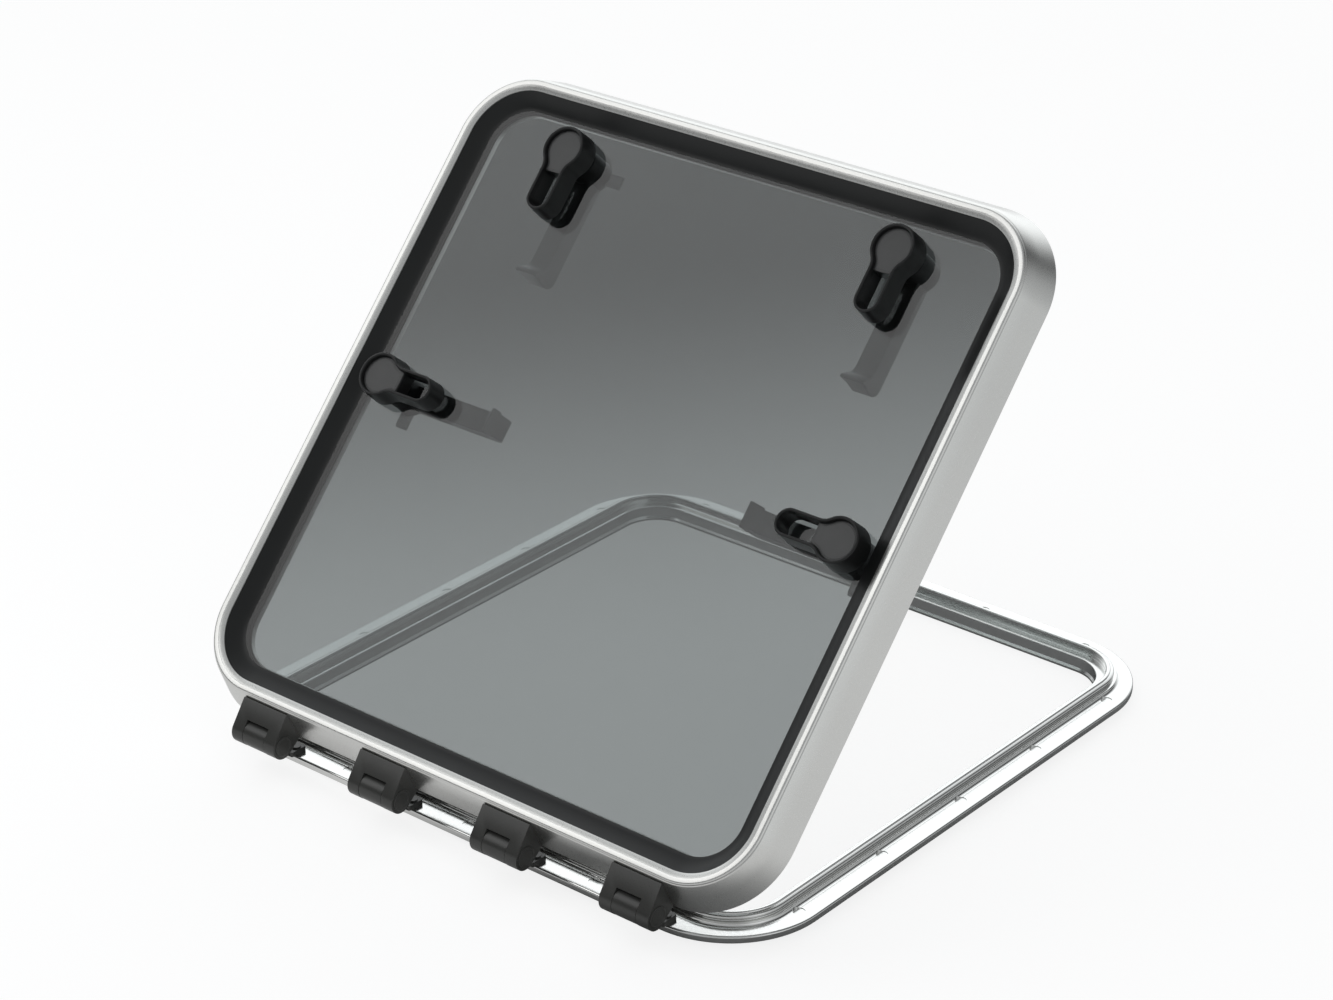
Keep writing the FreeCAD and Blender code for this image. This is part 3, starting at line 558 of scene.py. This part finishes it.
# Pane seal. Black sealant under and round the pane, tooled on top to a hollow slope that runs from the
# bezel down to a thin feather on the pane.
seal_in = 267.2
seal_high = 43.4
seal_hollow = 1.4
bed_in = 268.2
film = 0.05

black_sealant = bpy.data.materials.new("black_sealant")
tree, rubber = nodes_of(black_sealant)
wavy = surface_noise(tree, 14.0, 3.0)
paint(tree, rubber, wavy, (0.010, 0.011, 0.011), (0.014, 0.015, 0.015))
polish(tree, rubber, wavy, 0.3, 0.4)
rubber.inputs["Specular IOR Level"].default_value = 0.35
relief(tree, rubber, surface_noise(tree, 500.0, 2.0), 0.01 * mm, 0.3)

slope = []
for step in range(13):
    share = step / 12
    rise = (seal_high - pane_top - film) * (1 - share) ** seal_hollow
    slope.append((bezel_in - share * (bezel_in - seal_in), pane_top + film + rise))
seal_profile = [(bed_in, pane_ledge), (bezel_in, pane_ledge)] + slope + [
    (pane_half + film, pane_top + film), (pane_half + film, pane_low - film), (bed_in, pane_low - film)]
make_piece("pane_seal_black", square_ring(seal_profile, lid_centre, 36), black_sealant, "lid",
           ["pane_seal"], to_open)

# Lid gasket. A soft black rubber strip pressed into the channel; it meets the ridge of the base.
gasket_low = 16.3
gasket_round = 2.1

rubber_black = bpy.data.materials.new("rubber_black")
tree, rubber = nodes_of(rubber_black)
grainy = surface_noise(tree, 700.0, 3.0)
paint(tree, rubber, grainy, (0.018, 0.018, 0.018), (0.032, 0.032, 0.032))
polish(tree, rubber, grainy, 0.55, 0.75)
relief(tree, rubber, grainy, 0.03 * mm, 0.4)

gasket_profile = (
    [(channel_in, web_low)]
    + arc(channel_in + gasket_round, gasket_low + gasket_round, gasket_round, 180, 270, 6)
    + arc(channel_out - gasket_round, gasket_low + gasket_round, gasket_round, 270, 360, 6)
    + [(channel_out, web_low)]
)
make_piece("lid_gasket_rubber", square_ring(gasket_profile, lid_centre, 24), rubber_black, "lid",
           ["lid_gasket"], to_open)

# Hinges. Each lid leaf is a moulded black wedge: a flat outer face falls from the skirt and wraps the
# barrel in two knuckles, with a notch between them for the single knuckle of the base leaf.
leaf_half = 25.0
barrel_radius = 11.7
knuckle_half = 12.2
knuckle_radius = barrel_radius - 0.2
knuckle_gap = 0.3
notch_lip = 7.4
notch_room = 12.1
notch_back = 13.0
leaf_top = lid_top - 3.6
leaf_proud = 1.4
pin_radius = 3.5
bush_radius = 5.5
cap_seat = 0.6
foot_top = flange_top + 4.4
foot_half = 17.0
foot_front = 303.0
foot_round = 1.5
foot_sink_radius = 3.9
bevel_angle = 30.0
ay = hinge_point.y / mm
az = hinge_point.z / mm

hinge_black = bpy.data.materials.new("hinge_black")
tree, plastic = nodes_of(hinge_black)
sand = surface_noise(tree, 1600.0, 3.0)
patch = surface_noise(tree, 30.0, 3.0)
paint(tree, plastic, patch, (0.046, 0.046, 0.043), (0.058, 0.058, 0.054))
polish(tree, plastic, sand, 0.26, 0.36)
relief(tree, plastic, sand, 0.03 * mm, 0.3)


def along_x(points, x0, x1):
    """A prism along X from points round the hinge axis."""
    bm = bmesh.new()
    face = bm.faces.new([bm.verts.new((x0 * mm, (ay + y) * mm, (az + z) * mm)) for y, z in points])
    drawn = bmesh.ops.extrude_face_region(bm, geom=[face])["geom"]
    moved = [v for v in drawn if isinstance(v, bmesh.types.BMVert)]
    bmesh.ops.translate(bm, verts=moved, vec=((x1 - x0) * mm, 0, 0))
    return bm


def barrel(radius, x0, x1):
    """A cylinder on the hinge axis."""
    return along_x(arc(0, 0, radius, 0, 360, 72)[:-1], x0, x1)


def soften(piece, width):
    """Rounds a piece's sharp edges with a live bevel."""
    bevel = piece.modifiers.new("soft_edges", "BEVEL")
    bevel.width = width
    bevel.segments = 3
    bevel.limit_method = "ANGLE"
    bevel.angle_limit = math.radians(bevel_angle)
    bevel.use_clamp_overlap = True
    bevel.harden_normals = True


def lid_leaf(x):
    """The wedge of one hinge, with its notch, pin bore and cap seats, lid shut."""
    top = leaf_top - az
    reach = -skirt(leaf_top) - ay - leaf_proud
    slant = math.degrees(math.atan2(top - 1.2 - barrel_radius, reach))
    outline = arc(0, 0, barrel_radius, 90 + slant, 262, 26)
    outline += [(-lid_back - ay - 1.2, lid_low - az), (-lid_back - ay, lid_low - az)]
    outline += [(-skirt(leaf_top - 2.3) - ay, top - 2.3)]
    outline += [(reach + 0.3, top - 2.1), (reach - 0.1, top - 0.84), (reach - 1.2, top - 0.6)]
    body = along_x(outline, x - leaf_half, x + leaf_half)
    lip_angle = math.degrees(math.acos(notch_lip / notch_room))
    gap = knuckle_half + knuckle_gap
    room_in = [(-20, -25), (notch_back, -25), (notch_back, -2.0)]
    room_in += arc(0, 0, notch_room, -8, lip_angle, 10) + [(notch_lip, 25), (-20, 25)]
    body = cut_mesh(body, along_x(room_in, x - gap, x + gap))
    body = cut_mesh(body, barrel(pin_radius, x - leaf_half - 1, x + leaf_half + 1))
    for side in (-1, 1):
        ends = sorted((x + side * (leaf_half + 1), x + side * (leaf_half - cap_seat)))
        body = cut_mesh(body, barrel(9.2, *ends))
    return body


def base_leaf(x):
    """The knuckle, arm and foot of one hinge on the flange."""
    edge = -flange_half - ay
    inner = -foot_in - ay
    low = flange_top - az
    high = foot_top - az
    outline = arc(0, 0, knuckle_radius, -32, 253, 52)
    outline += [(edge - 3.0, low), (inner, low), (inner, high), (edge - 4.4, high)]
    outline += [(notch_back - 0.6, lid_low - az)]
    body = along_x(outline, x - knuckle_half, x + knuckle_half)
    foot = bmesh.new()
    corners = [(x - foot_half, -foot_front), (x + foot_half, -foot_front), (x + foot_half, -foot_in),
               (x - foot_half, -foot_in)]
    face = foot.faces.new([foot.verts.new((cx * mm, cy * mm, flange_top * mm)) for cx, cy in corners])
    drawn = bmesh.ops.extrude_face_region(foot, geom=[face])["geom"]
    moved = [v for v in drawn if isinstance(v, bmesh.types.BMVert)]
    bmesh.ops.translate(foot, verts=moved, vec=(0, 0, (foot_top - flange_top) * mm))
    upright = [e for e in foot.edges if abs(e.verts[0].co.z - e.verts[1].co.z) > mm]
    bmesh.ops.bevel(foot, geom=upright, offset=foot_round * mm, segments=4, profile=0.5, affect="EDGES",
                    material=-1)
    body = cut_mesh(body, foot, "UNION")
    body = cut_mesh(body, barrel(bush_radius, x - 20, x + 20))
    sinks = bmesh.new()
    for side in (-1, 1):
        spot = x + side * foot_hole_aside
        add_round(sinks, foot_hole_radius, foot_hole_radius, spot, -foot_hole_line, 0.0, 8.61)
        add_round(sinks, foot_hole_radius, foot_sink_radius, spot, -foot_hole_line, 8.6, 10.61)
        add_round(sinks, foot_sink_radius, foot_sink_radius, spot, -foot_hole_line, 10.6, 12.0)
    return cut_mesh(body, sinks)


for number in range(4):
    x = (number - 1.5) * hinge_pitch
    name = "hinge_%d" % (number + 1)
    leaf = make_piece(name + "_lid_leaf_moulded", lid_leaf(x), hinge_black, "lid", [name + "_lid_leaf"],
                      to_open)
    soften(leaf, 0.5 * mm)
    leaf = make_piece(name + "_base_leaf_moulded", base_leaf(x), hinge_black, "base", [name + "_base_leaf"])
    soften(leaf, 0.4 * mm)

# Hinge end caps. A shallow disc with a rolled rim closes each end of a barrel, set a little into the leaf.
cap_radius = 9.1
cap_steps = ((0.0, 0.95), (0.1, 0.22), (0.25, 0.15), (0.35, 0.03), (1.1, 0.0), (0.3, -0.22), (4.5, 0.0))
caps = bmesh.new()
for number in range(4):
    for side in (-1, 1):
        disc = bmesh.new()
        bmesh.ops.create_circle(disc, cap_ends=True, segments=64, radius=cap_radius * mm)
        under = bmesh.ops.duplicate(disc, geom=list(disc.faces))["geom"]
        face = next(f for f in disc.faces if f not in under)
        face.normal_update()
        if face.normal.z < 0:
            face.normal_flip()
        for inward, rise in cap_steps:
            bmesh.ops.inset_region(disc, faces=[face], use_boundary=True, use_even_offset=True,
                                   thickness=inward * mm, depth=rise * mm)
        end = (number - 1.5) * hinge_pitch + side * (leaf_half - cap_seat)
        turn = Matrix.Rotation(math.radians(90 * side), 4, "Y")
        bmesh.ops.transform(disc, verts=disc.verts,
                            matrix=Matrix.Translation((end * mm, hinge_point.y, hinge_point.z)) @ turn)
        single = bpy.data.meshes.new("cap")
        disc.to_mesh(single)
        disc.free()
        caps.from_mesh(single)
        bpy.data.meshes.remove(single)
make_piece("hinge_end_caps_domed", caps, hinge_black, "lid", ["hinge_end_caps"], to_open)

# Screws, pins and shafts. They are turned from stainless steel and stay as they are in the frame.
turned_steel = bpy.data.materials.new("turned_steel")
tree, metal = nodes_of(turned_steel)
metal.inputs["Metallic"].default_value = 1.0
grain = surface_noise(tree, 1200.0, 2.0, (1, 1, 6))
paint(tree, metal, grain, (0.56, 0.555, 0.545), (0.66, 0.655, 0.645))
polish(tree, metal, grain, 0.22, 0.36)
relief(tree, metal, grain, 0.01 * mm, 0.3)

# Bushes. They are machined from black acetal and line the pane's holes and the hinge knuckles.
black_acetal = bpy.data.materials.new("black_acetal")
tree, plastic = nodes_of(black_acetal)
grain = surface_noise(tree, 800.0, 2.0)
paint(tree, plastic, grain, (0.03, 0.03, 0.03), (0.05, 0.05, 0.05))
polish(tree, plastic, grain, 0.35, 0.5)
relief(tree, plastic, grain, 0.01 * mm, 0.3)

for node, part in frame["nodes"].items():
    finish = None
    if node.endswith(("_pin", "_screws", "_spindle")):
        finish = turned_steel
    elif node.endswith(("_bush", "_bushes")):
        finish = black_acetal
    elif node == "handle_seal_rings":
        finish = rubber_black
    if finish is not None:
        part.data.materials.clear()
        part.data.materials.append(finish)

# Outer handles. A black moulded keyhole grip stands on the pane: a drafted wall, a rounded lip, a sunk
# face for the bare disc, and an open slot through the tail.
head = 19.8
tail = 12.0
tail_length = 59.3
neck = 14.0
grip_low = pane_top + 0.3
grip_top = pane_top + 20.7
draft = 1.1
lip = 2.9
lip_round = 1.3
cap_top = grip_top - 4.0
cap_low = cap_top - 2.0
slot_start = 22.5
slot_half = 9.0
square_half = 4.2
spindle_top = 45.1
screw_seat = 45.6
screw_head = 5.6
screw_bore = 2.05
seal_recess = 13.3

handle_black = bpy.data.materials.new("handle_black")
tree, plastic = nodes_of(handle_black)
sand = surface_noise(tree, 1500.0, 3.0)
patch = surface_noise(tree, 40.0, 3.0)
paint(tree, plastic, patch, (0.011, 0.0115, 0.0115), (0.016, 0.0165, 0.0165))
polish(tree, plastic, sand, 0.28, 0.38)
plastic.inputs["Specular IOR Level"].default_value = 0.35
relief(tree, plastic, sand, 0.02 * mm, 0.25)


def keyhole_face(bm, grow, z):
    """A face in the outline of the grip: the head's arc, two hollow neck arcs, and the round-ended tail."""
    r, t, n = head + grow, tail + grow, neck - grow
    drop = math.sqrt((r + n) ** 2 - (t + n) ** 2)
    meet = math.degrees(math.atan2(drop, t + n))
    end = tail_length - tail
    here = bm.verts.new((t * mm, -end * mm, z * mm))
    runs = [("line", end - drop, 0), ("turn", (t + n, -drop), -meet), ("turn", (0, 0), 180 + 2 * meet),
            ("turn", (-t - n, -drop), -meet), ("line", drop - end, 0), ("turn", (0, -end), 180)]
    for kind, where, angle in runs:
        if kind == "line":
            here = bmesh.ops.extrude_vert_indiv(bm, verts=[here])["verts"][0]
            bmesh.ops.translate(bm, verts=[here], vec=(0, where * mm, 0))
        else:
            centre = Vector((where[0], where[1], z)) * mm
            bent = bmesh.ops.spin(bm, geom=[here], cent=centre, axis=(0, 0, 1), angle=math.radians(angle),
                                  steps=max(6, int(abs(angle) / 5)))["geom_last"]
            here = next(v for v in bent if isinstance(v, bmesh.types.BMVert))
    bmesh.ops.remove_doubles(bm, verts=bm.verts, dist=0.02 * mm)
    face = bmesh.ops.contextual_create(bm, geom=list(bm.edges))["faces"][0]
    face.normal_update()
    if face.normal.z < 0:
        face.normal_flip()
    return face


def build_up(bm, face, steps):
    """Raises a face on a closed foot by steps of (inward, up), in millimetres."""
    bmesh.ops.duplicate(bm, geom=[face])
    for inward, rise in steps:
        bmesh.ops.inset_region(bm, faces=[face], use_boundary=True, use_even_offset=True,
                               thickness=inward * mm, depth=rise * mm)


def add_box(bm, x0, x1, y0, y1, z0, z1):
    """Adds a closed box."""
    made = bmesh.ops.create_cube(bm, size=1.0)["verts"]
    bmesh.ops.scale(bm, verts=made, vec=((x1 - x0) * mm, (y1 - y0) * mm, (z1 - z0) * mm))
    bmesh.ops.translate(bm, verts=made, vec=((x0 + x1) / 2 * mm, (y0 + y1) / 2 * mm, (z0 + z1) / 2 * mm))


def rolled_lip(radius, steps):
    """Steps of (inward, up) over the top of a round edge, up its outside and down its inside."""
    angles = [math.radians(90 * i / steps) for i in range(steps + 1)]
    out = [(radius * (math.cos(a) - math.cos(b)), radius * (math.sin(b) - math.sin(a)))
           for a, b in zip(angles, angles[1:])]
    return out, [(inward, -rise) for inward, rise in reversed(out)]


def grip():
    """The outer handle about its spindle, tail along minus Y."""
    bm = bmesh.new()
    face = keyhole_face(bm, draft, grip_low)
    up, down = rolled_lip(lip_round, 6)
    wall = grip_top - grip_low - lip_round
    steps = [(0.0, 0.3), (draft, wall - 0.3)] + up + [(lip - 2 * lip_round - 0.2, 0.0)] + down
    steps += [(0.2, -(grip_top - cap_low - lip_round))]
    build_up(bm, face, steps)
    end = tail_length - tail
    box = bmesh.new()
    add_box(box, -slot_half, slot_half, -end, -slot_start, grip_low - 2, grip_top + 2)
    tip = bmesh.new()
    add_round(tip, slot_half, slot_half, 0, -end, grip_low - 2.1, grip_top + 2.1, 48)
    bm = cut_mesh(bm, cut_mesh(box, tip, "UNION"))
    hidden = [(seal_recess, grip_low - 1, pane_top + 1.5), (screw_head, screw_seat, cap_low + 0.5),
              (screw_bore, pane_top, cap_low)]
    for radius, low, high in hidden:
        bore = bmesh.new()
        add_round(bore, radius, radius, 0, 0, low, high, 40)
        bm = cut_mesh(bm, bore)
    socket = bmesh.new()
    add_box(socket, -square_half, square_half, -square_half, square_half, grip_low, spindle_top)
    return cut_mesh(bm, socket)


# Handle discs. A bare plate in a slightly lighter black fills each sunk head. It has a fine border line
# and ends square over the tail's slot.
disc_slack = 0.05

disc_black = bpy.data.materials.new("disc_black")
tree, plastic = nodes_of(disc_black)
sand = surface_noise(tree, 1800.0, 3.0)
patch = surface_noise(tree, 50.0, 3.0)
paint(tree, plastic, patch, (0.058, 0.059, 0.059), (0.066, 0.067, 0.067))
polish(tree, plastic, sand, 0.3, 0.4)
relief(tree, plastic, sand, 0.02 * mm, 0.25)


def disc_plate():
    """The plate about the spindle."""
    bm = bmesh.new()
    face = keyhole_face(bm, -lip - disc_slack, cap_low + 0.02)
    bmesh.ops.bisect_plane(bm, geom=[face] + list(face.edges) + list(face.verts), dist=weld,
                           plane_co=(0, -slot_start * mm, 0), plane_no=(0, -1, 0), clear_outer=True)
    face = bm.faces[:][0]
    thick = cap_top - cap_low - 0.02
    build_up(bm, face, [(0.0, thick - 0.4), (0.12, 0.27), (0.28, 0.13), (1.1, 0.0), (0.16, -0.14),
                        (0.16, 0.0), (0.16, 0.14)])
    return bm


grip_mesh = grip()
disc_mesh = disc_plate()

# Inner handles. The cabin-side lever: a round hub on the spindle, a hollow arm with a turned-up tip, and
# a side catch with a gusset that closes under the lip of the base.
inner_low = -10.1
arm_top = 8.9
arm_half = 10.0
arm_end = 110.0
arm_heel = 9.0
tip_start = 93.0
tip_high = 21.5
tip_half = 11.6
tip_curve = 11.6
hub_radius = 15.0
hub_top = 22.6
catch_top = -6.4
catch_half = 6.0
catch_reach = 28.2
catch_ramp = 1.6
gusset_foot = 16.0
gusset_half = 2.0
gusset_rise = 9.0
arm_wall = 3.0
inner_screw_seat = 9.4


def prism(points, plane, half, edge):
    """A prism with rounded edges, from points in the plane across Y or across X, on both sides of it."""
    bm = bmesh.new()
    if plane == "YZ":
        ring = [bm.verts.new((-half * mm, a * mm, b * mm)) for a, b in points]
        vec = (2 * half * mm, 0, 0)
    else:
        ring = [bm.verts.new((a * mm, -half * mm, b * mm)) for a, b in points]
        vec = (0, 2 * half * mm, 0)
    face = bm.faces.new(ring)
    drawn = bmesh.ops.extrude_face_region(bm, geom=[face])["geom"]
    bmesh.ops.translate(bm, verts=[v for v in drawn if isinstance(v, bmesh.types.BMVert)], vec=vec)
    bmesh.ops.recalc_face_normals(bm, faces=bm.faces)
    sharp = [e for e in bm.edges if e.calc_face_angle(0.0) > math.radians(38)]
    bmesh.ops.bevel(bm, geom=sharp, offset=edge * mm, segments=3, profile=0.5, affect="EDGES", material=-1,
                    clamp_overlap=True)
    return bm


def lever(hand):
    """The inner handle about its spindle, arm along minus Y; hand is the side of its catch."""
    crest = arm_heel / 3
    outline = [(0.0, inner_low)] + arc(-arm_end + arm_heel, inner_low + arm_heel, arm_heel, 270, 180, 10)
    outline += [(-arm_end + crest / 2, arm_top), (-arm_end + crest, tip_high)]
    outline += [(-arm_end + 2 * crest, tip_high - 1)]
    outline += arc(-tip_start + crest, arm_top + tip_curve, tip_curve, 195, 270, 8)[1:] + [(0.0, arm_top)]
    body = prism(outline, "YZ", arm_half, 1.2)
    flare = [(-arm_end + 2.4, arm_top + 1.6), (-arm_end + crest - 0.1, tip_high),
             (-arm_end + 2 * crest, tip_high - 1), (-tip_start - crest - 2.0, arm_top + 1.6)]
    body = cut_mesh(body, prism(flare, "YZ", tip_half, 0.7), "UNION")
    hub = bmesh.new()
    add_round(hub, hub_radius, hub_radius, 0, 0, inner_low, hub_top, 64)
    rims = [e for e in hub.edges if e.calc_face_angle(0.0) > math.radians(60)]
    bmesh.ops.bevel(hub, geom=rims, offset=1.3 * mm, segments=4, profile=0.5, affect="EDGES", material=-1)
    body = cut_mesh(body, hub, "UNION")
    hook = [(0.0, catch_top), (catch_reach - 2 * catch_ramp, catch_top),
            (catch_reach, catch_top - catch_ramp), (catch_reach, inner_low + 0.01),
            (0.0, inner_low + 0.01)]
    body = cut_mesh(body, prism([(hand * x, z) for x, z in hook], "XZ", catch_half, 0.6), "UNION")
    web = [(10.0, catch_top - 1.0), (10.0, catch_top + gusset_rise), (hub_radius, catch_top + gusset_rise),
           (gusset_foot, catch_top), (gusset_foot, catch_top - 1.0)]
    body = cut_mesh(body, prism([(hand * x, z) for x, z in web], "XZ", gusset_half, 0.3), "UNION")
    inside = arm_half - arm_wall
    pocket = bmesh.new()
    add_box(pocket, -inside, inside, -tip_start, -20.0, inner_low - 2, arm_top - arm_wall)
    corner = [e for e in pocket.edges if abs(e.verts[0].co.z - e.verts[1].co.z) > mm]
    bmesh.ops.bevel(pocket, geom=corner, offset=4 * mm, segments=6, profile=0.5, affect="EDGES",
                    material=-1)
    body = cut_mesh(body, pocket)
    bores = [(screw_head, inner_low - 2, inner_screw_seat),
             (screw_bore, inner_screw_seat - 1, hub_top + 1)]
    for radius, low, high in bores:
        bore = bmesh.new()
        add_round(bore, radius, radius, 0, 0, low, high, 40)
        body = cut_mesh(body, bore)
    socket = bmesh.new()
    add_box(socket, -square_half, square_half, -square_half, square_half, inner_screw_seat + 0.5,
            hub_top + 1)
    body = cut_mesh(body, socket)
    mark = bmesh.new()
    add_round(mark, 2.3, 2.5, 0, -86.0, arm_top - 0.4, arm_top + 0.4, 32)
    return cut_mesh(body, mark)


# Placing of the handles. Outer grip, disc and inner handle are set on each spindle and turned to the way
# in which that handle rests. The tails on the sides point inwards, and left and right are mirrored.
for body, place in handle_places.items():
    name = body[:-len("_handle")]
    inwards = 1 if place.x < 0 else -1
    if name.startswith("free"):
        turn = 0.0
        hand = inwards
    else:
        turn = 90.0 * inwards
        hand = -inwards
    spot = to_open @ Matrix.Translation((place.x, place.y, 0)) @ Matrix.Rotation(math.radians(turn), 4, "Z")
    make_piece(name + "_outer_grip", grip_mesh.copy(), handle_black, body, [name + "_outer_handle"],
               spot)
    make_piece(name + "_disc", disc_mesh.copy(), disc_black, body, [name + "_handle_cap"],
               spot)
    make_piece(name + "_inner_lever", lever(hand), handle_black, body, [name + "_inner_handle"],
               spot)
grip_mesh.free()
disc_mesh.free()
